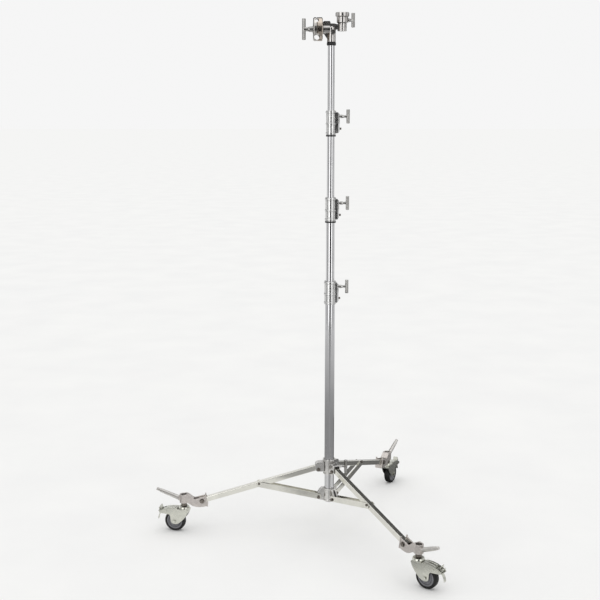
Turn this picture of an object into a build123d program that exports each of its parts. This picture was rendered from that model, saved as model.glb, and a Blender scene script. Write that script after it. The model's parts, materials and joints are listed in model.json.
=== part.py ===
from build123d import *
import os
from math import atan, atan2, cos, degrees, hypot, radians, sin

# Wheeled overhead stand for lights, in millimetres. The mast axis is Z and the floor is Z = 0.
# A square-tube leg points along -X, and the other two stand 120 degrees to each side of it.
# Each caster has come to rest at its own swivel angle, measured from its leg's direction.

os.makedirs("parts", exist_ok=True)

# ---------------------------------------------------------------- driving dimensions
LEGS = {"left": 180, "front": -60, "rear": 60}
SWIVELS = {"left": -15, "front": 20, "rear": 0}

# mast: the base column, then three risers, each sliding in the tube below it
TUBE_RADII = [22.5, 20.0, 17.5, 15.0]
TUBE_WALL = 2.0
COLUMN_FOOT = 150.0
COLLAR_FEET = [1104.0, 1489.0, 1877.0]
COLLAR_HEIGHT = 108.0
TUBE_TOP_IN_COLLAR = 64.0
RISER_FEET = [462.0, 851.0, 1248.0]
RING_HEIGHT = 7.0
BUSH_WALL = 3.0
COLLAR_WALL = 4.0
HEAD_FOOT = 2283.0
HEAD_RING_HEIGHT = 15.0

# folding base: a leg turns on its upper pin, a pair of bars on the lower one, and both meet
# at the middle pin; the middle pin lies half-way up and both links are equally long, so the
# sliding collar stays on the mast at every angle
PIN_RADIUS_FROM_MAST = 51.0
UPPER_PIN_Z = 307.0
LOWER_PIN_Z = 169.0
MIDDLE_PIN_R = 335.0
MIDDLE_PIN_Z = (UPPER_PIN_Z + LOWER_PIN_Z) / 2
LEG_AXIS_Z = 316.0
LEG_SLOPE = 0.2915
LEG_START_R = 66.0
LEG_END_R = 618.0
LEG_SIZE = 25.0
LEG_WALL = 1.75
BAR_WIDTH = 26.0
BAR_THICKNESS = 3.0
BAR_INSIDE = 13.5
BAR_SKEW = 3.5

# castings on the base column, which carry the bars and the legs
LOWER_TOP = 213.0
LOWER_LUG_HALF = 13.0
UPPER_FOOT = 283.0
UPPER_TOP = 356.0
CHEEK_INSIDE = 13.25
CHEEK_OUTSIDE = 18.25
UPPER_SCREW_Z = 317.0
UPPER_REACH = 79.0
COLUMN_CLEARANCE = 0.3
LOWER_RADIUS = 27.0
UPPER_RADIUS = 27.5

# bolts: shank radius, hexagon across flats and head height
HINGE_BOLT = 4.0
HINGE_FLATS = 13.0
HINGE_HEAD = 5.5
MIDDLE_BOLT = 3.0
MIDDLE_FLATS = 10.0
MIDDLE_HEAD = 4.5
END_BOLT = 5.0
END_FLATS = 17.0
END_HEAD = 6.5
KING_PIN = 6.0
AXLE = 4.0
AXLE_FLATS = 13.0
AXLE_HEAD = 5.0
PEDAL_RIVET = 3.0
LOCK_SCREW = 3.0
LOCK_SCREW_HEAD = 5.0
LOCK_SCREW_Z = 28.0

# leg end and caster
END_BOLT_R = 607.0
STEM_R = 694.0
BOSS_FOOT = 143.5
BOSS_TOP = 184.0
BRACKET_HALF = 18.0
BOSS_RADIUS = 21.0
LIFT_RISE = 24.0
LIFT_START = (719.5, 167.5)
FORK_TOP = 112.0
RACE_TOP = 125.0
TRAIL = 45.0
WHEEL_RADIUS = 50.0
CORE_RADIUS = 38.0
TYRE_HALF = 16.0
FORK_INSIDE = 18.0
FORK_SHEET = 3.0
PEDAL_X = 84.0
PEDAL_Z = 100.0

# T-handles on the clamps
HANDLE_STEM = 5.0
HANDLE_REACH = 77.0
HANDLE_BAR_RADIUS = 7.75
HANDLE_BAR_LENGTH = 62.0
COLLAR_SCREW_Z = 82.0
COLLAR_FACE = 39.0
COLLAR_BOSS_HALF = 12.5
COLLAR_BOSS_MARGIN = 8.0

# head: the grip jaws on the left, the receiver on the right
GRIP_Z = 2338.0
JAW_RADIUS = 51.0
JAW_SEAM_X = -65.0
JAW_INNER_X = -38.0
JAW_OUTER_X = -82.0
BIG_ROD_Z = -34.0
BIG_ROD_RADIUS = 12.5
SMALL_ROD_Z = 36.0
SMALL_ROD_RADIUS = 8.0
RECEIVER_X = 48.0
RECEIVER_FOOT = 2359.3
RECEIVER_TOP = 2410.0
RECEIVER_FLOOR = 2368.0
RECEIVER_BORE = 14.5
RECEIVER_SCREW_Z = 2377.0

FIT = 0.05
SLIDE = 0.1
SCREW_CLEARANCE = 0.08


# ---------------------------------------------------------------- planes and helpers
def leg_plane(azimuth, shift=0.0, radius=0.0):
    """Upright plane through the mast axis: local x is the radius, local y is the height."""
    c, s = cos(radians(azimuth)), sin(radians(azimuth))
    origin = (radius * c + shift * s, radius * s - shift * c, 0)
    return Plane(origin=origin, x_dir=(c, s, 0), z_dir=(s, -c, 0))


def floor_plane(azimuth, radius, height):
    """Level plane centred on a leg's radius: local x points away from the mast."""
    c, s = cos(radians(azimuth)), sin(radians(azimuth))
    return Plane(origin=(radius * c, radius * s, height), x_dir=(c, s, 0), z_dir=(0, 0, 1))


def shaft_plane(azimuth, radius, height, rise):
    """Plane whose local y runs outwards along a leg's azimuth, rising at the given angle."""
    c, s = cos(radians(azimuth)), sin(radians(azimuth))
    up, out = sin(radians(rise)), cos(radians(rise))
    origin = (radius * c, radius * s, height)
    return Plane(origin=origin, x_dir=(-s, c, 0), z_dir=(up * c, up * s, -out))


def axle_plane(name):
    """Plane whose local y runs along a caster's axle."""
    upright = caster_plane(name)
    centre = upright.from_local_coords((TRAIL, WHEEL_RADIUS, 0))
    return Plane(origin=centre, x_dir=(0, 0, 1), z_dir=-upright.x_dir)


def caster_plane(name, shift=0.0):
    """Upright plane through a caster's king pin, along the way the caster trails."""
    leg, trail = radians(LEGS[name]), radians(LEGS[name] + SWIVELS[name])
    c, s = cos(trail), sin(trail)
    origin = (STEM_R * cos(leg) + shift * s, STEM_R * sin(leg) - shift * c, 0)
    return Plane(origin=origin, x_dir=(c, s, 0), z_dir=(s, -c, 0))


def leg_height(radius):
    """Height of the leg tube's centre line."""
    return LEG_AXIS_Z - LEG_SLOPE * (radius - PIN_RADIUS_FROM_MAST)


def turned(plane, outline, mode=Mode.ADD):
    """Body of revolution about the plane's local y, from points (radius, along)."""
    with BuildSketch(plane, mode=Mode.PRIVATE) as profile:
        with BuildLine():
            Polyline(*outline, close=True)
        make_face()
    revolve(profile.sketch, axis=Axis(plane.origin, plane.y_dir), mode=mode)


def ring(plane, inner, outer, start, end, mode=Mode.ADD):
    """Plain ring or disc about the plane's local y."""
    turned(plane, [(inner, start), (outer, start), (outer, end), (inner, end)], mode)


def slab(plane, outline, half, mode=Mode.ADD):
    """Polygon thickened equally to both sides of its plane."""
    with BuildSketch(plane, mode=Mode.PRIVATE) as profile:
        with BuildLine():
            Polyline(*outline, close=True)
        make_face()
    extrude(profile.sketch, amount=half, both=True, mode=mode)


def rod(plane, x, y, radius, half, mode=Mode.ADD):
    """Round bar through a plane, equally long to both sides."""
    with BuildSketch(plane, mode=Mode.PRIVATE) as profile:
        with Locations((x, y)):
            Circle(radius)
    extrude(profile.sketch, amount=half, both=True, mode=mode)


def hexagon(plane, x, y, across_flats, length, mode=Mode.ADD):
    """Hexagonal prism standing on a plane."""
    with BuildSketch(plane, mode=Mode.PRIVATE) as profile:
        with Locations((x, y)):
            RegularPolygon(across_flats / 2, 6, major_radius=False)
    extrude(profile.sketch, amount=length, mode=mode)


def cross_bolt(azimuth, x, y, size, half):
    """Bolt across a leg's plane, with its head on one side and its nut on the other."""
    radius, across_flats, head = size
    rod(leg_plane(azimuth), x, y, radius, half + head)
    hexagon(leg_plane(azimuth, half), x, y, across_flats, head)
    hexagon(leg_plane(azimuth, -half - head), x, y, across_flats, head)


def save(builder, node):
    """Label a finished piece and write it to its own file."""
    builder.part.label = node
    export_step(builder.part, f"parts/{node}.step")


# ---------------------------------------------------------------- mast tubes
def mast_tube(node, radius, foot, top):
    with BuildPart() as tube:
        ring(Plane.XZ, radius - TUBE_WALL, radius, foot, top)
    save(tube, node)


mast_tube("base_column", TUBE_RADII[0], COLUMN_FOOT, COLLAR_FEET[0] + TUBE_TOP_IN_COLLAR)
mast_tube("riser_1_tube", TUBE_RADII[1], RISER_FEET[0], COLLAR_FEET[1] + TUBE_TOP_IN_COLLAR)
mast_tube("riser_2_tube", TUBE_RADII[2], RISER_FEET[1], COLLAR_FEET[2] + TUBE_TOP_IN_COLLAR)
mast_tube("riser_3_tube", TUBE_RADII[3], RISER_FEET[2], HEAD_FOOT + 32)


# ---------------------------------------------------------------- mast collars
def collar_radius(stage):
    return TUBE_RADII[stage] + COLLAR_WALL


def mast_collar(node, stage):
    """Cast collar fixed on a tube's top, with three rings, a clamp boss and a bush pocket."""
    foot = COLLAR_FEET[stage]
    body = collar_radius(stage)
    proud = body + 2.0
    outline = [(5, foot), (body, foot)]
    for low in (3, 44, 96):
        outline += [
            (body, foot + low),
            (proud, foot + low + 1.5),
            (proud, foot + low + 7.5),
            (body, foot + low + 9),
        ]
    outline += [(body, foot + COLLAR_HEIGHT), (5, foot + COLLAR_HEIGHT)]
    riser = TUBE_RADII[stage + 1]
    with BuildPart() as collar:
        turned(Plane.XZ, outline)
        boss_foot = foot + COLLAR_BOSS_MARGIN
        boss_top = foot + COLLAR_HEIGHT - COLLAR_BOSS_MARGIN
        with BuildSketch(Plane.XY.offset(boss_foot)):
            with Locations((COLLAR_FACE / 2 + 5, 0)):
                Rectangle(COLLAR_FACE - 10, 2 * COLLAR_BOSS_HALF)
            with Locations((COLLAR_FACE, COLLAR_BOSS_HALF), (COLLAR_FACE, -COLLAR_BOSS_HALF)):
                Rectangle(9, 9, rotation=45, mode=Mode.SUBTRACT)
        extrude(amount=boss_top - boss_foot)
        for sign, edge in ((1, boss_top), (-1, boss_foot)):
            corner = [
                (COLLAR_FACE + 1, edge + sign),
                (COLLAR_FACE + 1, edge - sign * 9),
                (COLLAR_FACE - 9, edge + sign),
            ]
            slab(Plane.XZ, corner, 20, Mode.SUBTRACT)
        tube_top = foot + TUBE_TOP_IN_COLLAR
        ring(Plane.XZ, 0, TUBE_RADII[stage] + FIT, foot - 1, tube_top + 1, Mode.SUBTRACT)
        ring(Plane.XZ, 0, riser + BUSH_WALL + FIT, tube_top, foot + 101, Mode.SUBTRACT)
        ring(Plane.XZ, 0, riser + 0.6, tube_top, foot + COLLAR_HEIGHT + 1, Mode.SUBTRACT)
        screw_line = shaft_plane(0, 0, foot + COLLAR_SCREW_Z, 0)
        ring(screw_line, 0, HANDLE_STEM + SCREW_CLEARANCE, 5, COLLAR_FACE + 5, Mode.SUBTRACT)
        lock_line = shaft_plane(0, 0, foot + LOCK_SCREW_Z, 0)
        ring(lock_line, 0, LOCK_SCREW + FIT, 5, COLLAR_FACE + 5, Mode.SUBTRACT)
    save(collar, node)


mast_collar("base_mast_collar", 0)
mast_collar("riser_1_collar", 1)
mast_collar("riser_2_collar", 2)


def collar_bush(stage):
    """Nylon bush in a collar's pocket, with a window for the clamp screw's tip."""
    foot = COLLAR_FEET[stage]
    riser = TUBE_RADII[stage + 1]
    low = foot + TUBE_TOP_IN_COLLAR + 2
    ring(Plane.XZ, riser + SLIDE, riser + BUSH_WALL, low, foot + 100.5)
    window = shaft_plane(0, 0, foot + COLLAR_SCREW_Z, 0)
    ring(window, 0, HANDLE_STEM + 0.6, 10, riser + 8, Mode.SUBTRACT)


def foot_bush(stage):
    """Nylon plug under a riser that guides it inside the tube below."""
    bore = TUBE_RADII[stage] - TUBE_WALL
    below = TUBE_RADII[stage - 1] - TUBE_WALL
    foot = RISER_FEET[stage - 1]
    outline = [
        (8, foot - 14),
        (below - 1.5, foot - 14),
        (below - SLIDE, foot - 12),
        (below - SLIDE, foot - 0.1),
        (bore - SLIDE, foot - 0.1),
        (bore - SLIDE, foot + 26),
        (8, foot + 26),
    ]
    turned(Plane.XZ, outline)


with BuildPart() as column_bushes:
    collar_bush(0)
    bore = TUBE_RADII[0] - TUBE_WALL
    plug = [
        (0, COLUMN_FOOT - 4.5),
        (20.5, COLUMN_FOOT - 4.5),
        (21.5, COLUMN_FOOT - 3.5),
        (21.5, COLUMN_FOOT - 0.2),
        (bore - SLIDE, COLUMN_FOOT - 0.2),
        (bore - SLIDE, COLUMN_FOOT + 18),
        (0, COLUMN_FOOT + 18),
    ]
    turned(Plane.XZ, plug)
save(column_bushes, "column_bushes")

for stage in (1, 2):
    with BuildPart() as bushes:
        foot_bush(stage)
        collar_bush(stage)
        top = COLLAR_FEET[stage] - 0.2
        ring_low = COLLAR_FEET[stage] - RING_HEIGHT
        ring(Plane.XZ, TUBE_RADII[stage] + SLIDE, collar_radius(stage) + 1, ring_low, top)
    save(bushes, f"riser_{stage}_bushes")

with BuildPart() as top_bushes:
    foot_bush(3)
    low = HEAD_FOOT - HEAD_RING_HEIGHT
    crown = [
        (TUBE_RADII[3] + SLIDE, low),
        (18.0, low),
        (20.5, low + 3),
        (20.5, HEAD_FOOT - 3),
        (19.0, HEAD_FOOT - 0.2),
        (TUBE_RADII[3] + SLIDE, HEAD_FOOT - 0.2),
    ]
    turned(Plane.XZ, crown)
save(top_bushes, "riser_3_bushes")


# ---------------------------------------------------------------- clamp handles and screws
def t_handle(node, height, tip, reach, start=0.0, shoulder=34.0, bar=HANDLE_BAR_LENGTH):
    """Clamp screw along +X with a waisted stem and a crossbar grip."""
    line = shaft_plane(0, start, height, 0)
    outline = [
        (0, tip),
        (HANDLE_STEM - 1, tip),
        (HANDLE_STEM, tip + 1),
        (HANDLE_STEM, reach - shoulder),
        (7.5, reach - shoulder),
        (7.5, reach - 0.8 * shoulder),
        (HANDLE_STEM, reach - 0.5 * shoulder),
        (6.8, reach - 0.2 * shoulder),
        (6.8, reach),
        (0, reach),
    ]
    half = bar / 2
    with BuildPart() as handle:
        turned(line, outline)
        upright = Plane(origin=(start + reach, 0, height), x_dir=(1, 0, 0), z_dir=(0, -1, 0))
        grip = [
            (0, -half),
            (HANDLE_BAR_RADIUS - 1.5, -half),
            (HANDLE_BAR_RADIUS, -half + 1.5),
            (HANDLE_BAR_RADIUS, half - 1.5),
            (HANDLE_BAR_RADIUS - 1.5, half),
            (0, half),
        ]
        turned(upright, grip)
    save(handle, node)


for stage, node in enumerate(("base_t_handle", "riser_1_t_handle", "riser_2_t_handle")):
    tip = TUBE_RADII[stage + 1] + 0.5
    t_handle(node, COLLAR_FEET[stage] + COLLAR_SCREW_Z, tip, HANDLE_REACH)


def lock_screw(stage):
    """Socket-head screw that pins a collar to its tube."""
    line = shaft_plane(0, 0, COLLAR_FEET[stage] + LOCK_SCREW_Z, 0)
    inner = TUBE_RADII[stage] + 0.4
    ring(line, 0, LOCK_SCREW, inner, COLLAR_FACE + 1)
    ring(line, 0, LOCK_SCREW_HEAD, COLLAR_FACE + 0.2, COLLAR_FACE + 8)
    ring(line, 0, 2.3, COLLAR_FACE + 4, COLLAR_FACE + 9, Mode.SUBTRACT)


for stage in (1, 2):
    with BuildPart() as screw:
        lock_screw(stage)
    save(screw, f"riser_{stage}_lock_screw")


# ---------------------------------------------------------------- lower collar, fixed on the column
with BuildPart() as lower_collar:
    ring(Plane.XZ, TUBE_RADII[0] + FIT, LOWER_RADIUS, COLUMN_FOOT, LOWER_TOP)
    ring(Plane.XZ, TUBE_RADII[0] + FIT, LOWER_RADIUS + 2, LOWER_TOP - 7, LOWER_TOP)
    ring(Plane.XZ, TUBE_RADII[0] + FIT, LOWER_RADIUS + 2, COLUMN_FOOT, COLUMN_FOOT + 7)
    for azimuth in LEGS.values():
        lug = [
            (24, 151),
            (46, 155),
            (60, 160),
            (64, 169),
            (60, 182),
            (46, 204),
            (38, 212),
            (24, 212),
        ]
        line = leg_plane(azimuth)
        slab(line, lug, LOWER_LUG_HALF)
        slab(line, [(38, 140), (70, 140), (70, 220), (38, 220)], 4.5, Mode.SUBTRACT)
        rod(line, PIN_RADIUS_FROM_MAST, LOWER_PIN_Z, HINGE_BOLT + FIT, 20, Mode.SUBTRACT)
save(lower_collar, "lower_collar")

with BuildPart() as base_bolts:
    for azimuth in LEGS.values():
        bars_outside = BAR_INSIDE + BAR_THICKNESS + 0.4
        size = (HINGE_BOLT, HINGE_FLATS, HINGE_HEAD)
        cross_bolt(azimuth, PIN_RADIUS_FROM_MAST, LOWER_PIN_Z, size, bars_outside)
    lock_screw(0)
save(base_bolts, "base_bolts")


# ---------------------------------------------------------------- upper collar, sliding on the column
with BuildPart() as upper_collar:
    ring(Plane.XZ, 20, UPPER_RADIUS, UPPER_FOOT, UPPER_TOP)
    ring(Plane.XZ, 20, UPPER_RADIUS + 2.5, UPPER_TOP - 8, UPPER_TOP)
    ring(Plane.XZ, 20, UPPER_RADIUS + 2, UPPER_FOOT, UPPER_FOOT + 6)
    for azimuth in LEGS.values():
        cheek = [
            (24, 297),
            (56, 296),
            (64, 301),
            (67, 309),
            (67, 332),
            (63, 338),
            (52, 342),
            (24, 344),
        ]
        slab(leg_plane(azimuth), cheek, CHEEK_OUTSIDE)
    slab(Plane.XZ, [(24, 303), (38, 305), (40, 308), (40, 326), (38, 329), (24, 331)], 11)
    for azimuth in LEGS.values():
        channel = [(30, 270), (75, 270), (75, 333), (35, 333), (30, 328)]
        line = leg_plane(azimuth)
        slab(line, channel, CHEEK_INSIDE, Mode.SUBTRACT)
        rod(line, PIN_RADIUS_FROM_MAST, UPPER_PIN_Z, HINGE_BOLT + FIT, 25, Mode.SUBTRACT)
    bore = TUBE_RADII[0] + COLUMN_CLEARANCE
    ring(Plane.XZ, 0, bore, UPPER_FOOT - 1, UPPER_TOP + 1, Mode.SUBTRACT)
    screw_line = shaft_plane(0, 0, UPPER_SCREW_Z, 0)
    ring(screw_line, 0, HANDLE_STEM + SCREW_CLEARANCE, 15, 50, Mode.SUBTRACT)
save(upper_collar, "upper_collar")

with BuildPart() as upper_collar_bolts:
    for azimuth in LEGS.values():
        size = (HINGE_BOLT, HINGE_FLATS, HINGE_HEAD)
        cross_bolt(azimuth, PIN_RADIUS_FROM_MAST, UPPER_PIN_Z, size, CHEEK_OUTSIDE + 0.3)
save(upper_collar_bolts, "upper_collar_bolts")

t_handle("upper_collar_t_handle", UPPER_SCREW_Z, TUBE_RADII[0] + 0.8, UPPER_REACH)


# ---------------------------------------------------------------- legs and their bars
def leg_tube(name, azimuth):
    """Square tube with a solid hinge tongue welded into its inner end."""
    rise = -degrees(atan(LEG_SLOPE))
    line = shaft_plane(azimuth, LEG_START_R, leg_height(LEG_START_R), rise)
    section = Plane(origin=line.origin, x_dir=line.x_dir, z_dir=line.y_dir)
    length = (LEG_END_R - LEG_START_R) * hypot(1, LEG_SLOPE)
    inside = LEG_SIZE - 2 * LEG_WALL
    with BuildPart() as leg:
        with BuildSketch(section):
            RectangleRounded(LEG_SIZE, LEG_SIZE, 3)
            RectangleRounded(inside, inside, 1.25, mode=Mode.SUBTRACT)
        extrude(amount=length)
        eye = PIN_RADIUS_FROM_MAST, UPPER_PIN_Z
        rod(leg_plane(azimuth), *eye, 11, 10)
        end = leg_height(LEG_START_R)
        tongue = [(51, 318), (LEG_START_R + 1, end + 12), (LEG_START_R + 1, end - 12), (49, 296.2)]
        slab(leg_plane(azimuth), tongue, 10)
        deep = LEG_START_R + 20
        plug = [
            (LEG_START_R, end + 11),
            (deep, leg_height(deep) + 11),
            (deep, leg_height(deep) - 11),
            (LEG_START_R, end - 11),
        ]
        slab(leg_plane(azimuth), plug, 11)
        upright = leg_plane(azimuth)
        end_bolt = END_BOLT_R, leg_height(END_BOLT_R)
        rod(upright, *eye, HINGE_BOLT + FIT, 15, Mode.SUBTRACT)
        rod(upright, MIDDLE_PIN_R, MIDDLE_PIN_Z, MIDDLE_BOLT + FIT, 15, Mode.SUBTRACT)
        rod(upright, *end_bolt, END_BOLT + FIT, 15, Mode.SUBTRACT)
    save(leg, f"leg_{name}_tube")


def leg_bolts(name, azimuth):
    """Middle pivot bolt and the larger bolt that holds the caster bracket."""
    with BuildPart() as bolts:
        outside = BAR_INSIDE + BAR_THICKNESS + 0.4
        middle = (MIDDLE_BOLT, MIDDLE_FLATS, MIDDLE_HEAD)
        end = (END_BOLT, END_FLATS, END_HEAD)
        cross_bolt(azimuth, MIDDLE_PIN_R, MIDDLE_PIN_Z, middle, outside)
        cross_bolt(azimuth, END_BOLT_R, leg_height(END_BOLT_R), end, BRACKET_HALF + 0.2)
    save(bolts, f"leg_{name}_bolts")


def brace_bars(name, azimuth):
    """Two flat bars that straddle the leg, from the lower collar to the middle pin."""
    low = (PIN_RADIUS_FROM_MAST, LOWER_PIN_Z + BAR_SKEW)
    high = (MIDDLE_PIN_R, MIDDLE_PIN_Z - BAR_SKEW)
    centre = ((low[0] + high[0]) / 2, (low[1] + high[1]) / 2)
    span = hypot(high[0] - low[0], high[1] - low[1])
    tilt = degrees(atan2(high[1] - low[1], high[0] - low[0]))
    with BuildPart() as bars:
        for shift in (BAR_INSIDE, -BAR_INSIDE - BAR_THICKNESS):
            with BuildSketch(leg_plane(azimuth, shift)):
                with Locations(centre):
                    SlotCenterToCenter(span, BAR_WIDTH, rotation=tilt)
                with Locations((PIN_RADIUS_FROM_MAST, LOWER_PIN_Z)):
                    Circle(HINGE_BOLT + SLIDE, mode=Mode.SUBTRACT)
                with Locations((MIDDLE_PIN_R, MIDDLE_PIN_Z)):
                    Circle(MIDDLE_BOLT + SLIDE, mode=Mode.SUBTRACT)
            extrude(amount=BAR_THICKNESS)
    save(bars, f"brace_{name}_bars")


# ---------------------------------------------------------------- caster bracket and lifting handle
def caster_bracket(name, azimuth):
    """Cast bracket: an open channel over the leg's end that dips and rises to the stem boss."""
    upright = leg_plane(azimuth)
    boss_line = leg_plane(azimuth, 0, STEM_R)
    lift_line = shaft_plane(azimuth, *LIFT_START, LIFT_RISE)
    with BuildPart() as bracket:
        with BuildSketch(upright):
            with BuildLine():
                crest = Polyline((583, 129), (588, 177), (612, 171), (640, 163.5))
                Spline(crest @ 1, (656, 171), (670, 182), (STEM_R, BOSS_TOP))
                Line((STEM_R, BOSS_TOP), (STEM_R, BOSS_FOOT))
                belly = [(672, 142.5), (655, 132), (636, 125.5), (608, 124.5), (583, 129)]
                Spline((STEM_R, BOSS_FOOT), *belly)
            make_face()
        extrude(amount=BRACKET_HALF, both=True)
        slab(upright, [(589, 184), (594, 183), (584, 126.5), (579, 127.5)], 20)
        ring(boss_line, 0, BOSS_RADIUS, BOSS_FOOT, BOSS_TOP)
        ring(lift_line, 0, 11.5, -24, 0)
        drop = (LEG_SIZE / 2 + 0.3) * hypot(1, LEG_SLOPE)
        channel = [
            (560, leg_height(560) - drop),
            (646, leg_height(646) - drop),
            (646, 230),
            (560, 230),
        ]
        slab(upright, channel, LEG_SIZE / 2 + 0.3, Mode.SUBTRACT)
        rod(upright, END_BOLT_R, leg_height(END_BOLT_R), END_BOLT + FIT, 30, Mode.SUBTRACT)
        ring(boss_line, 0, 14, BOSS_TOP - 14, BOSS_TOP + 20, Mode.SUBTRACT)
        ring(boss_line, 0, KING_PIN + FIT, BOSS_FOOT - 5, BOSS_TOP, Mode.SUBTRACT)
        ring(lift_line, 0, 6 + FIT, -14, 1, Mode.SUBTRACT)
        for side in (-BRACKET_HALF, BRACKET_HALF):
            rod(leg_plane(azimuth, side), 632, 146, 4.5, 1.5, Mode.SUBTRACT)
    save(bracket, f"leg_{name}_caster_bracket")


def lift_handle(name, azimuth):
    """Tapered bar that lifts the leg over obstacles."""
    line = shaft_plane(azimuth, *LIFT_START, LIFT_RISE)
    outline = [
        (0, -13),
        (6, -13),
        (6, 0.3),
        (10.5, 0.3),
        (8.8, 92),
        (7.2, 93),
        (7.2, 112),
        (6.2, 113),
        (0, 113),
    ]
    with BuildPart() as handle:
        turned(line, outline)
    save(handle, f"leg_{name}_lift_handle")


# ---------------------------------------------------------------- caster
def caster_stem(name, azimuth):
    """King pin with its hexagon and washer under the boss and its nut in the boss's recess."""
    line = leg_plane(azimuth, 0, STEM_R)
    with BuildPart() as stem:
        ring(line, 0, 9, FORK_TOP - 8.5, FORK_TOP - 3.3)
        ring(line, 0, KING_PIN, FORK_TOP - 5, BOSS_TOP - 1)
        ring(line, 0, 15, BOSS_FOOT - 2.5, BOSS_FOOT - 0.2)
        hexagon(floor_plane(azimuth, STEM_R, RACE_TOP + 1), 0, 0, 24, BOSS_FOOT - RACE_TOP - 2)
        hexagon(floor_plane(azimuth, STEM_R, BOSS_TOP - 13.5), 0, 0, 19, 10)
    save(stem, f"caster_{name}_stem")


def caster_fork(name):
    """Pressed fork: a bearing race, two cheeks under an arched cover, and the pedal's rivet."""
    line = caster_plane(name)
    side = FORK_INSIDE + FORK_SHEET
    race = [
        (KING_PIN + SLIDE, FORK_TOP - 1),
        (27, FORK_TOP - 1),
        (27, RACE_TOP - 5),
        (24, RACE_TOP),
        (17, RACE_TOP),
        (16, RACE_TOP - 2),
        (KING_PIN + SLIDE, RACE_TOP - 2),
    ]
    with BuildPart() as fork:
        with BuildSketch(line):
            with BuildLine():
                flat = Polyline((-20, FORK_TOP), (28, FORK_TOP), (31, 116.5))
                cover = ThreePointArc(flat @ 1, (78, 113.5), (119, 98))
                heel = Polyline(cover @ 1, (122, 92), (119, 87))
                under = ThreePointArc(heel @ 1, (94, 84.5), (70, 82))
                hub = Polyline(under @ 1, (65, 76), (62, 50))
                nose = Spline(hub @ 1, (56, 40), (45, 36.5), (30, 38.5), (18, 45.5))
                front = Spline(nose @ 1, (2, 60), (-12, 77), (-22, 95), (-26, 105))
                ThreePointArc(front @ 1, (-25.2, 109.8), flat @ 0)
            make_face()
        extrude(amount=side, both=True)
        with BuildSketch(line):
            with BuildLine():
                roof = Polyline((-22, 20), (-22, 109), (30, 109), (33, 110.5))
                vault = ThreePointArc(roof @ 1, (78, 107.5), (118, 90))
                Polyline(vault @ 1, (150, 90), (150, 20), roof @ 0)
            make_face()
        extrude(amount=FORK_INSIDE, both=True, mode=Mode.SUBTRACT)
        with BuildSketch(line):
            with BuildLine():
                crown = Polyline((20, 80), (20, 109), (30, 109), (32.5, 113.3))
                groin = ThreePointArc(crown @ 1, (78, 110.3), (117, 95))
                Polyline(groin @ 1, (150, 95), (150, 80), crown @ 0)
            make_face()
        extrude(amount=FORK_INSIDE - 4, both=True, mode=Mode.SUBTRACT)
        slab(line, [(92, 96), (140, 80), (140, 125), (92, 125)], FORK_INSIDE, Mode.SUBTRACT)
        for face in (side, -side):
            edge = [(26, 119), (26, 113.5), (78, 110.5), (126, 92), (126, 119)]
            slope = caster_plane(name, face)
            slab(slope, edge, 1.2, Mode.SUBTRACT)
        turned(line, race)
        ring(line, 0, KING_PIN + SLIDE, FORK_TOP - 10, FORK_TOP, Mode.SUBTRACT)
        rod(line, TRAIL, WHEEL_RADIUS, AXLE + FIT, 30, Mode.SUBTRACT)
        rod(line, PEDAL_X, PEDAL_Z, PEDAL_RIVET, side + 2)
    save(fork, f"caster_{name}_fork")


def caster_pedal(name):
    """Brake lever: a shoe behind the tyre, three fanned ribs for the toe and a release tongue."""
    line = caster_plane(name)
    lever = [
        (78, 103.5),
        (77, 96),
        (88, 92),
        (88, 81),
        (93, 81),
        (95, 90),
        (110, 86),
        (117, 86),
        (118, 94),
        (112, 102),
        (96, 104.5),
    ]
    ribs = [
        [(107, 100), (110.5, 99), (118.5, 120), (115.5, 121.5)],
        [(112, 97), (114, 94), (126.5, 107), (124.5, 109.5)],
        [(115, 91), (115, 87.5), (128.5, 92.5), (127.5, 95.5)],
    ]
    with BuildPart() as pedal:
        slab(line, lever, 12)
        for rib in ribs:
            slab(line, rib, 12)
        with BuildSketch(line):
            with BuildLine():
                outer = ThreePointArc((117, 88), (126, 74), (131.5, 52))
                tip = Line(outer @ 1, (129, 51.3))
                inner = ThreePointArc(tip @ 1, (123.2, 73), (112, 87))
                Line(inner @ 1, outer @ 0)
            make_face()
        extrude(amount=8, both=True)
        rod(line, PEDAL_X, PEDAL_Z, PEDAL_RIVET + SLIDE, 20, Mode.SUBTRACT)
    save(pedal, f"caster_{name}_pedal")


def caster_wheel(name):
    """Plastic core, tyre and axle bolt."""
    axle_line = axle_plane(name)
    core = [
        (AXLE + SLIDE, -17),
        (11, -17),
        (13, -11),
        (20, -10),
        (21.5, -12),
        (25, -12),
        (26.5, -10),
        (31, -10),
        (33, -14),
        (CORE_RADIUS, -14),
    ]
    core += [(radius, -along) for radius, along in reversed(core)]
    with BuildPart() as wheel_core:
        turned(axle_line, core)
    save(wheel_core, f"caster_{name}_wheel_core")

    tyre_profile = [
        (CORE_RADIUS + FIT, -14),
        (CORE_RADIUS + 4, -15.5),
        (WHEEL_RADIUS - 5, -TYRE_HALF),
        (WHEEL_RADIUS - 2, -TYRE_HALF + 2),
        (WHEEL_RADIUS - 0.4, -TYRE_HALF + 6),
        (WHEEL_RADIUS, -TYRE_HALF + 10),
    ]
    tyre_profile += [(radius, -along) for radius, along in reversed(tyre_profile)]
    with BuildPart() as tyre:
        turned(axle_line, tyre_profile)
    save(tyre, f"caster_{name}_tyre")

    outside = FORK_INSIDE + FORK_SHEET + 0.2
    with BuildPart() as axle:
        rod(caster_plane(name), TRAIL, WHEEL_RADIUS, AXLE, outside + AXLE_HEAD)
        for shift in (outside, -outside - AXLE_HEAD):
            head = caster_plane(name, shift)
            hexagon(head, TRAIL, WHEEL_RADIUS, AXLE_FLATS, AXLE_HEAD)
    save(axle, f"caster_{name}_axle")


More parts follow.
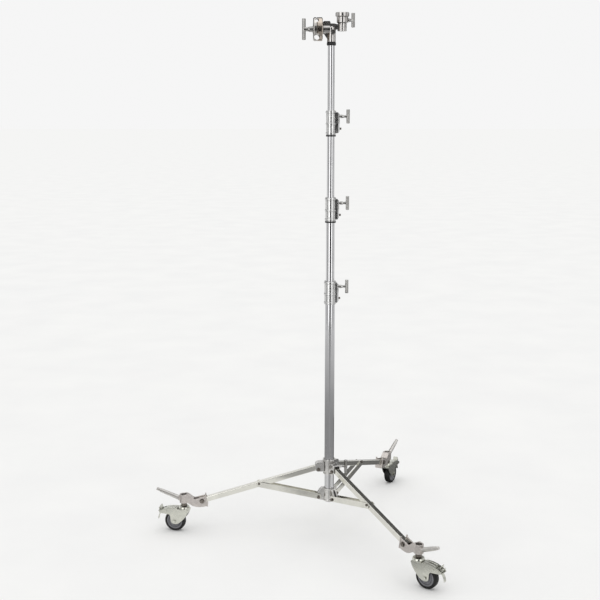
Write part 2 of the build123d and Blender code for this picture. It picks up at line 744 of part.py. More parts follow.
for name, azimuth in LEGS.items():
    leg_tube(name, azimuth)
    leg_bolts(name, azimuth)
    brace_bars(name, azimuth)
    caster_bracket(name, azimuth)
    lift_handle(name, azimuth)
    caster_stem(name, azimuth)
    caster_fork(name)
    caster_pedal(name)
    caster_wheel(name)


# ---------------------------------------------------------------- head
def grip_line():
    """Plane whose local y runs along +X on the grip's axis."""
    return shaft_plane(0, 0, GRIP_Z, 0)


with BuildPart() as head_body:
    post = [(8, HEAD_FOOT), (18, HEAD_FOOT), (19, HEAD_FOOT + 1), (19, 2345), (16, 2349), (8, 2349)]
    turned(Plane.XZ, post)
    ring(Plane.XZ, 0, 10, 2330, 2349)
    ring(grip_line(), 0, 21, JAW_INNER_X + 1, -8)
    ring(grip_line(), 0, 15, -20, 0)
    slab(Plane.XZ, [(-37, 2340), (-37, 2369), (-34, 2372), (-8, 2372), (-5, 2366), (-5, 2340)], 16)
    slab(Plane.XZ, [(-33, 2318), (-34, 2325), (-10, 2330), (-10, 2292), (-18, 2296)], 6)
    slab(Plane.XZ, [(-6, 2340), (-6, 2362), (12, 2362), (24, 2359), (40, 2359), (40, 2338), (12, 2336)], 13)
    ring(leg_plane(0, 0, RECEIVER_X - 1), 0, 20, 2330, 2359)
    rod(Plane.XZ.offset(20), 6, 2325, 10, 5)
    rod(Plane.XZ.offset(25), 6, 2325, 6.5, 2.5, Mode.SUBTRACT)
    ring(Plane.XZ, 0, TUBE_RADII[3] + FIT, HEAD_FOOT - 1, HEAD_FOOT + 33, Mode.SUBTRACT)
    ring(grip_line(), 0, 7 + SLIDE, JAW_INNER_X - 2, -4, Mode.SUBTRACT)
save(head_body, "head_body")


def rod_grooves():
    """Cross holes for rods on the seam between the two jaws."""
    for height, radius in ((BIG_ROD_Z, BIG_ROD_RADIUS), (SMALL_ROD_Z, SMALL_ROD_RADIUS)):
        rod(Plane.XZ, JAW_SEAM_X, GRIP_Z + height, radius, 60, Mode.SUBTRACT)


with BuildPart() as grip_inner_jaw:
    face = JAW_SEAM_X + 0.5
    back = JAW_INNER_X
    profile = [
        (7 + SLIDE, face),
        (JAW_RADIUS - 2, face),
        (JAW_RADIUS, face + 2),
        (JAW_RADIUS, back - 5),
        (JAW_RADIUS - 3, back - 2),
        (24, back - 2),
        (21, back),
        (7 + SLIDE, back),
    ]
    turned(grip_line(), profile)
    rod_grooves()
save(grip_inner_jaw, "grip_inner_jaw")

with BuildPart() as grip_outer_jaw:
    face = JAW_SEAM_X - 0.5
    back = JAW_OUTER_X
    profile = [
        (7 + SLIDE, face),
        (JAW_RADIUS - 2, face),
        (JAW_RADIUS, face - 2),
        (JAW_RADIUS, back + 5),
        (JAW_RADIUS - 3, back + 2),
        (26, back + 2),
        (18, back),
        (7 + SLIDE, back),
    ]
    turned(grip_line(), profile)
    rod_grooves()
save(grip_outer_jaw, "grip_outer_jaw")

with BuildPart() as grip_t_handle:
    bolt = [
        (0, -6),
        (7, -6),
        (7, JAW_OUTER_X - 0.3),
        (13, JAW_OUTER_X - 0.3),
        (13, -86),
        (11.5, -87),
        (11.5, -97),
        (10, -101),
        (9, -104),
        (9, -122),
        (0, -122),
    ]
    turned(grip_line(), bolt)
    bar = [(0, -46), (6.5, -46), (8, -44.5), (8, 44.5), (6.5, 46), (0, 46)]
    turned(Plane(origin=(-122, 0, GRIP_Z), x_dir=(1, 0, 0), z_dir=(0, -1, 0)), bar)
save(grip_t_handle, "grip_t_handle")

with BuildPart() as junior_receiver:
    cup = leg_plane(0, 0, RECEIVER_X)
    shell = [
        (0, RECEIVER_FOOT),
        (19, RECEIVER_FOOT),
        (19, 2363),
        (24.5, 2367),
        (24.5, 2390),
        (28.5, 2392),
        (30, 2394),
        (30, 2407.5),
        (28, RECEIVER_TOP),
        (0, RECEIVER_TOP),
    ]
    turned(cup, shell)
    ring(shaft_plane(0, RECEIVER_X, RECEIVER_SCREW_Z, 0), 0, 9.5, 15, 28)
    ring(cup, 0, RECEIVER_BORE, RECEIVER_FLOOR, RECEIVER_TOP + 5, Mode.SUBTRACT)
    screw_line = shaft_plane(0, RECEIVER_X, RECEIVER_SCREW_Z, 0)
    ring(screw_line, 0, HANDLE_STEM + SCREW_CLEARANCE, 5, 40, Mode.SUBTRACT)
save(junior_receiver, "junior_receiver")

t_handle("receiver_t_handle", RECEIVER_SCREW_Z, RECEIVER_BORE + 0.7, 48.0, RECEIVER_X, 18.0)
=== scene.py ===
import json
from math import cos, hypot, pi, radians, sin, sqrt

import bmesh
import bpy
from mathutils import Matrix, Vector


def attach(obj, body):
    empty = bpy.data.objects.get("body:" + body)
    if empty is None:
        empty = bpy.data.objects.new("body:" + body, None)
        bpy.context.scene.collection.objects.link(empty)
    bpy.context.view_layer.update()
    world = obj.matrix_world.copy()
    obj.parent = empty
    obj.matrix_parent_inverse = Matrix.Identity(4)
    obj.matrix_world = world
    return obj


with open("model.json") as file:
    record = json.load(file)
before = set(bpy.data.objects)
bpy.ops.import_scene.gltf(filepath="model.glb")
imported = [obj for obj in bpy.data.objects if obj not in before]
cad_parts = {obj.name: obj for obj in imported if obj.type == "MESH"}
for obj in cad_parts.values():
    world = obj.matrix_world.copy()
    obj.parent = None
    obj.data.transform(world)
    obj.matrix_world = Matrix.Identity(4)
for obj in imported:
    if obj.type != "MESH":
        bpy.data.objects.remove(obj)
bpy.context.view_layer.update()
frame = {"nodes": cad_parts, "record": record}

# A wheeled overhead light stand in a plain studio. Lengths are metres unless a comment says
# millimetres, in the frame's own axes: the mast is +Z, the floor is z = 0, and the camera looks
# roughly along +Y.

NODES = frame["nodes"]
LEGS = {"left": 180.0, "front": -60.0, "rear": 60.0}
MM = 0.001

# ------------------------------------------------------------------ camera
CAMERA_PLACE = Vector((-0.252, -4.5533, 1.9265))
CAMERA_HEADING = Vector((0.0244, 0.9845, -0.1737))
CAMERA_LENS = 59.94
CAMERA_SENSOR = 36.0

camera_data = bpy.data.cameras.new("camera")
camera_data.lens = CAMERA_LENS
camera_data.sensor_width = CAMERA_SENSOR
camera = bpy.data.objects.new("camera", camera_data)
camera.location = CAMERA_PLACE
camera.rotation_mode = "QUATERNION"
camera.rotation_quaternion = CAMERA_HEADING.to_track_quat("-Z", "Y")
bpy.context.scene.collection.objects.link(camera)
bpy.context.scene.camera = camera
bpy.context.scene.view_settings.view_transform = "Standard"


# ------------------------------------------------------------------ node helper
CREVICE_SAMPLES = 4
RUBBED_START, RUBBED_END = 0.45, 0.85

# places of the colour sockets on a Mix node
FIRST_COLOR, SECOND_COLOR, MIXED_COLOR = 6, 7, 2


class Shader:
    """A material's node tree, with short calls to add nodes and join sockets."""

    def __init__(self, name):
        self.material = bpy.data.materials.new(name)
        self.material.use_nodes = True
        self.tree = self.material.node_tree
        self.surface = self.tree.nodes["Principled BSDF"]
        self.place = self.tree.nodes.new("ShaderNodeTexCoord").outputs["Object"]

    def set(self, **values):
        """Constants straight on the shader's sockets, by name with _ for a space."""
        for name, value in values.items():
            self.surface.inputs[name.replace("_", " ")].default_value = value
        return self

    def node(self, kind, **settings):
        made = self.tree.nodes.new("ShaderNode" + kind)
        for name, value in settings.items():
            setattr(made, name, value)
        return made

    def join(self, output, target):
        self.tree.links.new(output, target)

    def stretched(self, scale):
        """Object coordinates multiplied by a vector."""
        mapping = self.node("Mapping")
        mapping.inputs["Scale"].default_value = scale
        self.join(self.place, mapping.inputs["Vector"])
        return mapping.outputs["Vector"]

    def noise(self, scale, detail=2.0, place=None):
        made = self.node("TexNoise")
        made.inputs["Scale"].default_value = scale
        made.inputs["Detail"].default_value = detail
        self.join(place or self.place, made.inputs["Vector"])
        return made.outputs["Fac"]

    def ramp(self, source, low, high, start=0.3, end=0.7):
        """Maps a value to a range between two stops, clamped outside them."""
        made = self.node("MapRange")
        made.inputs["From Min"].default_value = start
        made.inputs["From Max"].default_value = end
        made.inputs["To Min"].default_value = low
        made.inputs["To Max"].default_value = high
        self.join(source, made.inputs["Value"])
        return made.outputs["Result"]

    def math(self, operation, first, second):
        made = self.node("Math", operation=operation)
        for value, socket in ((first, made.inputs[0]), (second, made.inputs[1])):
            if isinstance(value, (int, float)):
                socket.default_value = value
            else:
                self.join(value, socket)
        return made.outputs[0]

    def blend(self, factor, first, second):
        """Mixes two colours, each given as a tuple or as a socket."""
        made = self.node("Mix", data_type="RGBA")
        self.join(factor, made.inputs["Factor"])
        for value, index in ((first, FIRST_COLOR), (second, SECOND_COLOR)):
            socket = made.inputs[index]
            if isinstance(value, tuple):
                socket.default_value = (*value, 1.0)
            else:
                self.join(value, socket)
        return made.outputs[MIXED_COLOR]

    def bump(self, height, strength, distance, before=None):
        """Normal from a height, on top of another normal where one is given."""
        made = self.node("Bump")
        made.inputs["Strength"].default_value = strength
        made.inputs["Distance"].default_value = distance
        self.join(height, made.inputs["Height"])
        if before is not None:
            self.join(before, made.inputs["Normal"])
        return made.outputs["Normal"]

    def corner_shade_mask(self, distance):
        """1 in the open, 0 deep in a corner; the materials use it to paint shade into corners."""
        made = self.node("AmbientOcclusion", samples=CREVICE_SAMPLES)
        made.inputs["Distance"].default_value = distance
        return made.outputs["AO"]

    def rubbed_edge(self, distance):
        """1 along an outer edge that hands and cases rub, 0 on the faces."""
        made = self.node("AmbientOcclusion", samples=CREVICE_SAMPLES, inside=True)
        made.inputs["Distance"].default_value = distance
        return self.ramp(made.outputs["AO"], 1.0, 0.0, RUBBED_START, RUBBED_END)

    def finish(self, color=None, roughness=None, normal=None):
        """Joins what is given to the surface and returns the material."""
        if color is not None:
            self.join(color, self.surface.inputs["Base Color"])
        if roughness is not None:
            self.join(roughness, self.surface.inputs["Roughness"])
        if normal is not None:
            self.join(normal, self.surface.inputs["Normal"])
        return self.material


# ------------------------------------------------------------------ materials
HANDLE_LIGHT, HANDLE_DARK = (0.44, 0.435, 0.42), (0.31, 0.305, 0.295)
LIFT_LIGHT, LIFT_DARK = (0.68, 0.66, 0.63), (0.56, 0.545, 0.52)


def polished_chrome():
    """Bright chrome on drawn tube: faint draw lines along Z, smudges and hairline rubs."""
    s = Shader("polished_chrome").set(Metallic=1.0)
    smudge = s.noise(9.0, 4.0)
    lines = s.noise(1.0, 2.0, s.stretched((900.0, 900.0, 6.0)))
    rubs = s.noise(1.0, 1.0, s.stretched((420.0, 420.0, 2.2)))
    color = s.blend(s.ramp(smudge, 0.0, 1.0), (0.64, 0.64, 0.65), (0.56, 0.56, 0.57))
    rough = s.math("ADD", s.ramp(smudge, 0.05, 0.11), s.ramp(rubs, 0.0, 0.10, 0.60, 0.74))
    return s.finish(color, rough, s.bump(lines, 0.10, 0.00005))


def leg_chrome():
    """Chrome on square tube, slightly soft, with handling marks and a warm cast."""
    s = Shader("leg_chrome").set(Metallic=1.0)
    cloud = s.noise(14.0, 4.0)
    waves = s.noise(48.0, 1.0)
    marks = s.noise(240.0, 5.0)
    color = s.blend(s.ramp(cloud, 0.0, 1.0), (0.78, 0.77, 0.71), (0.70, 0.69, 0.64))
    rough = s.math("ADD", s.ramp(cloud, 0.11, 0.18), s.ramp(marks, 0.0, 0.05, 0.50, 0.72))
    return s.finish(color, rough, s.bump(waves, 0.05, 0.0002))


def cast_chrome(name, light, dark, low, high):
    """Chrome over a casting: soft orange-peel skin, painted shade darkening the corners, rubbed on the
    edges.
    """
    s = Shader(name).set(Metallic=1.0)
    skin = s.noise(260.0, 2.0)
    waves = s.noise(70.0, 2.0)
    unshaded_share = s.corner_shade_mask(0.012)
    worn = s.rubbed_edge(0.0012)
    # painted shade: the colour goes from the light tone to the dark tone deep in the corners
    tone = s.blend(s.ramp(unshaded_share, 0.0, 1.0, 0.25, 0.9), dark, light)
    color = s.blend(s.math("MULTIPLY", worn, 0.5), tone, (0.80, 0.79, 0.77))
    rough = s.math("ADD", s.ramp(waves, low, high), s.ramp(unshaded_share, 0.25, 0.0, 0.2, 0.7))
    normal = s.bump(waves, 0.22, 0.0005, s.bump(skin, 0.10, 0.0002))
    return s.finish(color, rough, normal)


def blasted_casting():
    """Shot-blasted casting of the leg ends: pale warm grey with a sandy skin and painted shade in its
    corners.
    """
    s = Shader("blasted_casting").set(Metallic=0.85)
    grain = s.noise(520.0, 3.0)
    lumps = s.noise(90.0, 3.0)
    unshaded_share = s.corner_shade_mask(0.010)
    worn = s.rubbed_edge(0.0015)
    tone = s.blend(s.ramp(lumps, 0.0, 1.0), (0.66, 0.615, 0.585), (0.54, 0.505, 0.48))
    # painted shade: the colour turns dark brown-grey in the corners
    shaded = s.blend(s.ramp(unshaded_share, 0.0, 1.0, 0.25, 0.85), (0.19, 0.17, 0.16), tone)
    color = s.blend(s.math("MULTIPLY", worn, 0.6), shaded, (0.74, 0.71, 0.68))
    rough = s.ramp(grain, 0.34, 0.52)
    normal = s.bump(lumps, 0.35, 0.0008, s.bump(grain, 0.35, 0.0003))
    return s.finish(color, rough, normal)


def zinc_plate():
    """Zinc plated pressed steel with a faint yellow-green passivation and painted shade in its
    corners.
    """
    s = Shader("zinc_plate").set(Metallic=1.0)
    cloud = s.noise(34.0, 4.0)
    spangle = s.noise(240.0, 2.0)
    unshaded_share = s.corner_shade_mask(0.008)
    worn = s.rubbed_edge(0.0009)
    tone = s.blend(s.ramp(cloud, 0.0, 1.0), (0.70, 0.70, 0.625), (0.60, 0.605, 0.55))
    # painted shade: the colour turns dark grey in the corners
    shaded = s.blend(s.ramp(unshaded_share, 0.0, 1.0, 0.2, 0.85), (0.16, 0.16, 0.14), tone)
    color = s.blend(s.math("MULTIPLY", worn, 0.5), shaded, (0.78, 0.78, 0.74))
    rough = s.math("ADD", s.ramp(cloud, 0.20, 0.31), s.ramp(spangle, 0.0, 0.06))
    return s.finish(color, rough, s.bump(spangle, 0.06, 0.0002))


def bright_steel():
    """Bright plated bar and strip, a little brushed."""
    s = Shader("bright_steel").set(Metallic=1.0)
    cloud = s.noise(22.0, 4.0)
    waves = s.noise(60.0, 1.0)
    marks = s.noise(190.0, 4.0)
    color = s.blend(s.ramp(cloud, 0.0, 1.0), (0.77, 0.76, 0.70), (0.69, 0.68, 0.63))
    rough = s.math("ADD", s.ramp(cloud, 0.15, 0.25), s.ramp(marks, 0.0, 0.12, 0.56, 0.74))
    return s.finish(color, rough, s.bump(waves, 0.08, 0.0002))


def dark_fastener():
    """Oiled steel bolts and nuts, with painted shade darkening the corners to brown-black, and bright
    on the rubbed edges.
    """
    s = Shader("dark_fastener").set(Metallic=1.0)
    cloud = s.noise(180.0, 3.0)
    unshaded_share = s.corner_shade_mask(0.006)
    worn = s.rubbed_edge(0.0008)
    tone = s.blend(s.ramp(cloud, 0.0, 1.0), (0.26, 0.235, 0.21), (0.14, 0.125, 0.11))
    # painted shade: the colour turns brown-black in the corners
    shaded = s.blend(s.ramp(unshaded_share, 0.0, 1.0, 0.3, 0.9), (0.03, 0.027, 0.025), tone)
    color = s.blend(s.math("MULTIPLY", worn, 0.6), shaded, (0.50, 0.47, 0.43))
    return s.finish(color, s.ramp(cloud, 0.26, 0.42), s.bump(cloud, 0.2, 0.0003))


def turned_steel(name, light, dark, low, high):
    """Turned and plated handles and levers, rubbed bright along their edges."""
    s = Shader(name).set(Metallic=1.0)
    cloud = s.noise(60.0, 3.0)
    marks = s.noise(230.0, 4.0)
    worn = s.rubbed_edge(0.0010)
    tone = s.blend(s.ramp(cloud, 0.0, 1.0), light, dark)
    color = s.blend(s.math("MULTIPLY", worn, 0.5), tone, (0.74, 0.73, 0.71))
    rough = s.math("ADD", s.ramp(cloud, low, high), s.ramp(marks, 0.0, 0.14, 0.56, 0.74))
    return s.finish(color, rough, s.bump(cloud, 0.06, 0.0002))


def black_nylon():
    """Moulded bushes, scuffed by the tube that slides in them."""
    s = Shader("black_nylon").set(Specular_IOR_Level=0.4)
    grain = s.noise(400.0, 2.0)
    scuff = s.noise(60.0, 4.0)
    color = s.blend(s.ramp(scuff, 0.0, 1.0, 0.55, 0.8), (0.012, 0.012, 0.013), (0.05, 0.05, 0.05))
    return s.finish(color, s.ramp(scuff, 0.35, 0.55), s.bump(grain, 0.12, 0.0002))


def wheel_plastic():
    """Dark grey moulded wheel centre with painted shade darkening its grooves."""
    s = Shader("wheel_plastic").set(Specular_IOR_Level=0.45)
    mould = s.noise(300.0, 2.0)
    cloud = s.noise(45.0, 3.0)
    unshaded_share = s.corner_shade_mask(0.007)
    worn = s.rubbed_edge(0.0010)
    tone = s.blend(s.ramp(cloud, 0.0, 1.0), (0.215, 0.215, 0.232), (0.150, 0.150, 0.164))
    # painted shade: the colour turns nearly black in the grooves
    shaded = s.blend(s.ramp(unshaded_share, 0.0, 1.0, 0.3, 0.95), (0.020, 0.020, 0.021), tone)
    color = s.blend(s.math("MULTIPLY", worn, 0.5), shaded, (0.24, 0.24, 0.25))
    return s.finish(color, s.ramp(cloud, 0.30, 0.46), s.bump(mould, 0.10, 0.0002))


def tyre_rubber():
    """Black tread, matt with floor dust where it rolls."""
    s = Shader("tyre_rubber").set(Specular_IOR_Level=0.3)
    grain = s.noise(420.0, 3.0)
    dust = s.noise(38.0, 4.0)
    color = s.blend(s.ramp(dust, 0.0, 1.0, 0.5, 0.85), (0.008, 0.008, 0.008), (0.030, 0.029, 0.028))
    return s.finish(color, s.ramp(dust, 0.45, 0.7), s.bump(grain, 0.22, 0.0003))


# the second colour given to cast_chrome is the painted shade in the corners
MATERIALS = {
    "chrome_tube": polished_chrome(),
    "leg_chrome": leg_chrome(),
    "cast_chrome": cast_chrome("cast_chrome", (0.66, 0.65, 0.63), (0.16, 0.15, 0.14), 0.16, 0.28),
    "collar_chrome": cast_chrome("collar_chrome", (0.64, 0.64, 0.635), (0.14, 0.14, 0.14), 0.19, 0.30),
    "cast_bracket": blasted_casting(),
    "zinc_steel": zinc_plate(),
    "steel_bar": bright_steel(),
    "fastener_steel": dark_fastener(),
    "handle_chrome": turned_steel("handle_chrome", HANDLE_LIGHT, HANDLE_DARK, 0.08, 0.16),
    "lift_steel": turned_steel("lift_steel", LIFT_LIGHT, LIFT_DARK, 0.26, 0.38),
    "black_nylon": black_nylon(),
    "jaw_iron": cast_chrome("jaw_iron", (0.50, 0.44, 0.38), (0.10, 0.08, 0.07), 0.14, 0.26),
    "wheel_grey": wheel_plastic(),
    "tyre_black": tyre_rubber(),
}
SLOTS = {part["node"]: part["material_slot"] for part in frame["record"]["subparts"]}

# the head is darker than the collars of its slot, and the outer jaw is paler than the inner one; the
# second colour of each look is the painted shade in its corners
HEAD_LOOK = cast_chrome("head_chrome", (0.50, 0.485, 0.47), (0.10, 0.095, 0.09), 0.14, 0.26)
OUTER_JAW_LOOK = cast_chrome("outer_jaw", (0.60, 0.58, 0.55), (0.13, 0.12, 0.11), 0.12, 0.24)
for node, obj in NODES.items():
    obj.data.materials.clear()
    obj.data.materials.append(MATERIALS[SLOTS[node]])
NODES["grip_outer_jaw"].data.materials[0] = OUTER_JAW_LOOK
for node in ("head_body", "junior_receiver"):
    NODES[node].data.materials[0] = HEAD_LOOK


# ------------------------------------------------------------------ edges and skins of the CAD pieces
WELD_GAP = 2e-6
FLAT_ANGLE = radians(0.4)
SHARP_ANGLE = radians(32)
EDGE_SEGMENTS = 2
SKIN_SMOOTHING = 0.5


def soften_edges(obj, width):
    """Rounds a machined or pressed piece's sharp edges without touching its CAD mesh."""
    weld = obj.modifiers.new("weld", "WELD")
    weld.merge_threshold = WELD_GAP
    flat = obj.modifiers.new("flat", "DECIMATE")
    flat.decimate_type = "DISSOLVE"
    flat.angle_limit = FLAT_ANGLE
    bevel = obj.modifiers.new("bevel", "BEVEL")
    bevel.width = width
    bevel.segments = EDGE_SEGMENTS
    bevel.limit_method = "ANGLE"
    bevel.angle_limit = SHARP_ANGLE
    bevel.harden_normals = True


def cast_skin(obj, voxel, rounds):
    """Turns a piece into one even skin with the rounded corners of a sand casting."""
    remesh = obj.modifiers.new("skin", "REMESH")
    remesh.mode = "VOXEL"
    remesh.voxel_size = voxel
    remesh.use_smooth_shade = True
    smooth = obj.modifiers.new("soft", "SMOOTH")
    smooth.factor = SKIN_SMOOTHING
    smooth.iterations = rounds


# millimetres of rounding, by material slot
EDGE_WIDTHS = {
    "chrome_tube": 0.4,
    "leg_chrome": 0.4,
    "steel_bar": 0.5,
    "zinc_steel": 0.7,
    "fastener_steel": 0.5,
    "handle_chrome": 0.6,
    "lift_steel": 0.6,
    "black_nylon": 0.4,
    "collar_chrome": 0.7,
    "jaw_iron": 0.8,
    "wheel_grey": 0.4,
    "tyre_black": 0.5,
}
# voxel size in millimetres and rounds of smoothing, by material slot
CAST_SKINS = {"cast_bracket": (0.9, 6), "cast_chrome": (0.8, 5)}
for node, obj in NODES.items():
    obj.data.shade_smooth()
    if "custom_normal" in obj.data.attributes:
        obj.data.attributes.remove(obj.data.attributes["custom_normal"])
    if SLOTS[node] in CAST_SKINS:
        voxel, rounds = CAST_SKINS[SLOTS[node]]
        cast_skin(obj, voxel * MM, rounds)
    else:
        soften_edges(obj, EDGE_WIDTHS[SLOTS[node]] * MM)


# ------------------------------------------------------------------ washers and pressed beads
JOINTS = {joint["name"]: joint for joint in frame["record"]["behaviour"]["joints"]}

# millimetres: each bolt's distance from the mast's axis and its height, as in the CAD part,
# then a washer's distance from the leg's middle, inner radius, outer radius and thickness
HINGE_RADIUS, HINGE_HEIGHT = 51.0, 307.0
LEG_HEIGHT_AT_HINGE, LEG_SLOPE = 316.0, 0.2915
END_BOLT_RADIUS = 607.0
END_BOLT_HEIGHT = LEG_HEIGHT_AT_HINGE - LEG_SLOPE * (END_BOLT_RADIUS - HINGE_RADIUS)
HINGE_WASHER = (18.35, 4.5, 8.6, 1.1)
END_WASHER = (18.1, 5.5, 11.6, 1.2)
WASHER_EDGE = 0.25
TURN_STEPS = 48

# millimetres: the fork's arched cover in its own upright plane, and the beads pressed into it
COVER_POINTS = ((31.0, 116.5), (78.0, 113.5), (119.0, 98.0))
BEAD_START, BEAD_STEP, BEAD_STEPS = 37.0, 3.7, 15
BEAD_SHIFT, BEAD_WIDTH, BEAD_HEIGHT = 9.0, 2.4, 1.2
BEAD_SIDES = 6
BEAD_FOOT = 0.8
BEAD_END = 0.35


def new_piece(name, mesh, body, slot):
    """Puts a finished mesh in the scene with its slot's material and its body."""
    mesh.materials.append(MATERIALS[slot])
    mesh.shade_smooth()
    piece = bpy.data.objects.new(name, mesh)
    bpy.context.scene.collection.objects.link(piece)
    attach(piece, body)


def finished_mesh(name, made):
    """Mesh of the faces gathered so far, all facing outwards."""
    bmesh.ops.recalc_face_normals(made, faces=made.faces)
    mesh = bpy.data.meshes.new(name)
    made.to_mesh(mesh)
    made.free()
    return mesh


def turned_mesh(name, outline, place, axis):
    """Closed ring turned about an axis through place; outline is (radius, along) points."""
    along = Vector(axis).normalized()
    side = along.orthogonal().normalized()
    across = along.cross(side)
    made = bmesh.new()
    loops = []
    for step in range(TURN_STEPS):
        angle = 2 * pi * step / TURN_STEPS
        out = side * cos(angle) + across * sin(angle)
        loops.append([made.verts.new(Vector(place) + out * r + along * a) for r, a in outline])
    for step, loop in enumerate(loops):
        after = loops[(step + 1) % TURN_STEPS]
        for index in range(len(outline)):
            nxt = (index + 1) % len(outline)
            made.faces.new((loop[index], after[index], after[nxt], loop[nxt]))
    return finished_mesh(name, made)


def bead_mesh(name, points, across, up, width, height):
    """Low rounded bead that follows points; its section is half a flattened circle."""
    angles = [pi * step / BEAD_SIDES for step in range(BEAD_SIDES + 1)]
    section = [(cos(angle) * width, sin(angle) * height) for angle in angles]
    section += [(-BEAD_FOOT * width, -height), (BEAD_FOOT * width, -height)]
    made = bmesh.new()
    loops = []
    for index, point in enumerate(points):
        shrink = BEAD_END if index in (0, len(points) - 1) else 1.0
        loop = [point + across * a * shrink + up * b * shrink for a, b in section]
        loops.append([made.verts.new(place) for place in loop])
    for first, second in zip(loops, loops[1:]):
        for index in range(len(section)):
            nxt = (index + 1) % len(section)
            made.faces.new((first[index], second[index], second[nxt], first[nxt]))
    for loop in (loops[0], loops[-1]):
        made.faces.new(loop)
    return finished_mesh(name, made)


def washer_outline(inner, outer, start, thick):
    """Flat washer with broken edges."""
    edge = WASHER_EDGE * MM
    return [
        (inner, start),
        (outer - edge, start),
        (outer, start + edge),
        (outer, start + thick - edge),
        (outer - edge, start + thick),
        (inner, start + thick),
    ]


def bolt_washers(stem, leg, radius, height, washer, body):
    """A washer under the head and one under the nut of a bolt across a leg."""
    offset, inner, outer, thick = washer
    angle = radians(LEGS[leg])
    place = Vector((radius * cos(angle), radius * sin(angle), height)) * MM
    axis = Vector((sin(angle), -cos(angle), 0.0))
    outline = washer_outline(inner * MM, outer * MM, offset * MM, thick * MM)
    for side, way in (("head", 1), ("nut", -1)):
        name = f"{stem}_{side}_washer"
        new_piece(name, turned_mesh(name, outline, place, axis * way), body, "fastener_steel")


for leg in LEGS:
    hinge = (HINGE_RADIUS, HINGE_HEIGHT, HINGE_WASHER)
    bolt_washers(f"leg_{leg}_hinge", leg, *hinge, "upper_collar")
    end_bolt = (END_BOLT_RADIUS, END_BOLT_HEIGHT, END_WASHER)
    bolt_washers(f"leg_{leg}_end", leg, *end_bolt, f"leg_{leg}")


def circle_through(a, b, c):
    """Centre and radius of the circle through three plane points."""
    ax, ay, bx, by = b[0] - a[0], b[1] - a[1], c[0] - a[0], c[1] - a[1]
    twice = 2 * (ax * by - ay * bx)
    x = a[0] + (by * (ax * ax + ay * ay) - ay * (bx * bx + by * by)) / twice
    y = a[1] + (ax * (bx * bx + by * by) - bx * (ax * ax + ay * ay)) / twice
    return x, y, hypot(a[0] - x, a[1] - y)


COVER_X, COVER_Z, COVER_RADIUS = circle_through(*COVER_POINTS)


def beads_on_fork(leg):
    """Two long beads pressed into the top of a caster's fork, following its arched cover."""
    pin = Vector(JOINTS[f"caster_{leg}_swivel"]["pos_m"])
    hub = Vector(JOINTS[f"caster_{leg}_roll"]["pos_m"])
    trail = Vector((hub.x - pin.x, hub.y - pin.y, 0.0)).normalized()
    side = Vector((trail.y, -trail.x, 0.0))
    up = Vector((0.0, 0.0, 1.0))
    foot = Vector((pin.x, pin.y, 0.0))
    for way, shift in (("left", -BEAD_SHIFT), ("right", BEAD_SHIFT)):
        name = f"caster_{leg}_{way}_bead"
        points = []
        for step in range(BEAD_STEPS):
            x = BEAD_START + BEAD_STEP * step
            crown = COVER_Z + sqrt(COVER_RADIUS ** 2 - (x - COVER_X) ** 2)
            points.append(foot + (trail * x + up * crown + side * shift) * MM)
        mesh = bead_mesh(name, points, side, up, BEAD_WIDTH * MM, BEAD_HEIGHT * MM)
        new_piece(name, mesh, f"fork_{leg}", "zinc_steel")


for leg in LEGS:
    beads_on_fork(leg)


# ------------------------------------------------------------------ floor
FLOOR_HALF = 400.0


def flat_card(name, corners, material):
    """Staged rectangle with a material."""
    mesh = bpy.data.meshes.new(name)
    mesh.from_pydata(corners, [], [(0, 1, 2, 3)])
    mesh.materials.append(material)
    card = bpy.data.objects.new(name, mesh)
    bpy.context.scene.collection.objects.link(card)
    return card


floor_look = Shader("studio_floor").set(Specular_IOR_Level=0.0)
floor_grain = floor_look.noise(2.0, 3.0)
floor_share = floor_look.ramp(floor_grain, 0.0, 1.0)
floor_look.finish(
    floor_look.blend(floor_share, (0.86, 0.86, 0.85), (0.83, 0.83, 0.825)),
    floor_look.ramp(floor_grain, 0.55, 0.7),
)
flat_card(
    "studio_floor",
    [
        (-FLOOR_HALF, -FLOOR_HALF, 0.0),
        (FLOOR_HALF, -FLOOR_HALF, 0.0),
        (FLOOR_HALF, FLOOR_HALF, 0.0),
        (-FLOOR_HALF, FLOOR_HALF, 0.0),
    ],
    floor_look.material,
)


# ------------------------------------------------------------------ lights and dark cards
SOFTBOX_RADIUS, SOFTBOX_HEIGHT = 4.4, 1.9
SOFTBOX_AIM = Vector((0.0, 0.0, 1.6))
SOFTBOX_TALL = 3.6
SKY_STRENGTH, SKY_SPREAD = 0.50, radians(60)
WORLD_STRENGTH = 0.92

# radii around the mast and heights of the cards, in metres
NEAR_CARDS, BACK_CARD = 5.0, 6.0
CAMERA_CARD_TOP, NEAR_CARDS_TOP, BACK_CARD_FOOT, BACK_CARD_TOP = 2.6, 5.0, 2.0, 7.0
ALL_ROUND_LEVEL, PATCH_LEVEL = 0.0008, 0.0012


def around(angle, radius, height):
    """Point around the mast; angle 0 is towards the camera, positive to the camera's right."""
    return (radius * sin(radians(angle)), -radius * cos(radians(angle)), height)


def softbox(name, angle, width, power):
    """Tall bright panel for the chrome to reflect; it adds nothing to the floor's light."""
    place = Vector(around(angle, SOFTBOX_RADIUS, SOFTBOX_HEIGHT))
    data = bpy.data.lights.new(name, "AREA")
    data.shape = "RECTANGLE"
    data.size = width
    data.size_y = SOFTBOX_TALL
    data.energy = power
    box = bpy.data.objects.new(name, data)
    box.location = place
    box.rotation_mode = "QUATERNION"
    box.rotation_quaternion = (SOFTBOX_AIM - place).to_track_quat("-Z", "Y")
    box.visible_diffuse = False
    bpy.context.scene.collection.objects.link(box)


softbox("softbox_left", -29.0, 1.3, 26.0)
softbox("softbox_right", 27.0, 1.1, 17.0)

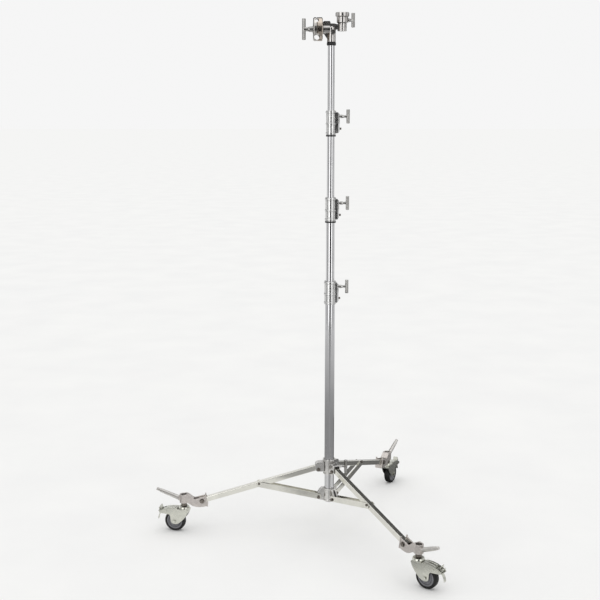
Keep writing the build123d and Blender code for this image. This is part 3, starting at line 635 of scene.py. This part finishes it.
# an overcast sky from straight above evens out the floor, so that it meets the backdrop unseen
sky = bpy.data.lights.new("sky", "SUN")
sky.energy = SKY_STRENGTH
sky.angle = SKY_SPREAD
sky_light = bpy.data.objects.new("sky", sky)
bpy.context.scene.collection.objects.link(sky_light)


def card_look(name, low, high):
    """Matt card, nearly one tone, with a faint paper grain."""
    look = Shader(name).set(Roughness=0.9, Specular_IOR_Level=0.1)
    fibre = look.noise(60.0, 2.0)
    return look.finish(look.blend(fibre, (low, low, low), (high, high, high)))


BLACK_CARD = card_look("black_card", 0.004, 0.010)
MID_CARD = card_look("mid_card", 0.37, 0.39)
DARK_CARD = card_look("dark_card", 0.09, 0.10)
SHADE_CARD = card_look("shade_card", 0.15, 0.17)


def graded_look(name, near, far, start, end):
    """Matt card that turns from one grey to another with the distance from the mast."""
    look = Shader(name).set(Roughness=0.9, Specular_IOR_Level=0.1)
    away = look.node("VectorMath", operation="LENGTH")
    look.join(look.place, away.inputs[0])
    share = look.ramp(away.outputs["Value"], 0.0, 1.0, start, end)
    return look.finish(look.blend(share, (near, near, near), (far, far, far)))


FLOOR_CARD = graded_look("floor_card", 0.34, 0.76, 1.9, 4.6)


def reflected_card(name, corners, material):
    """Card that only shows in reflections: out of the picture, and it casts no shade."""
    card = flat_card(name, corners, material)
    card.visible_camera = False
    card.visible_diffuse = False
    card.visible_shadow = False


def upright_card(name, angle, radius, half_angle, low, high, material):
    """Upright card facing the mast, between two heights."""
    left = around(angle - half_angle, radius, 0.0)
    right = around(angle + half_angle, radius, 0.0)
    corners = [(*left[:2], low), (*right[:2], low), (*right[:2], high), (*left[:2], high)]
    reflected_card(name, corners, material)


def floor_cards(name, start, end, count, inner, outer, height, material):
    """Fan of level cards over the floor between two radii."""
    step = (end - start) / count
    for index in range(count):
        a, b = start + index * step, start + (index + 1) * step
        corners = [
            around(a, inner, height),
            around(a, outer, height),
            around(b, outer, height),
            around(b, inner, height),
        ]
        reflected_card(f"{name}_{index + 1}", corners, material)


upright_card("card_behind_camera", 0.0, NEAR_CARDS, 19.0, 0.0, CAMERA_CARD_TOP, BLACK_CARD)
upright_card("card_above_camera", 0.0, NEAR_CARDS, 19.0, CAMERA_CARD_TOP, NEAR_CARDS_TOP, DARK_CARD)
upright_card("card_back_high", 180.0, BACK_CARD, 50.0, BACK_CARD_FOOT, BACK_CARD_TOP, DARK_CARD)
upright_card("card_left", -78.0, NEAR_CARDS, 7.0, 0.0, NEAR_CARDS_TOP, DARK_CARD)
upright_card("card_right", 74.0, NEAR_CARDS, 6.0, 0.0, NEAR_CARDS_TOP, DARK_CARD)
floor_cards("card_floor", -180.0, 180.0, 24, 1.0, 6.5, ALL_ROUND_LEVEL, FLOOR_CARD)
floor_cards("card_floor_right", 105.0, 165.0, 3, 0.6, 1.9, PATCH_LEVEL, SHADE_CARD)
floor_cards("card_floor_front", -17.0, 15.0, 2, 0.45, 5.0, PATCH_LEVEL, MID_CARD)

world = bpy.data.worlds.new("studio")
bpy.context.scene.world = world
world.use_nodes = True
backdrop = world.node_tree.nodes["Background"]
backdrop.inputs["Color"].default_value = (1.0, 1.0, 1.0, 1.0)
backdrop.inputs["Strength"].default_value = WORLD_STRENGTH
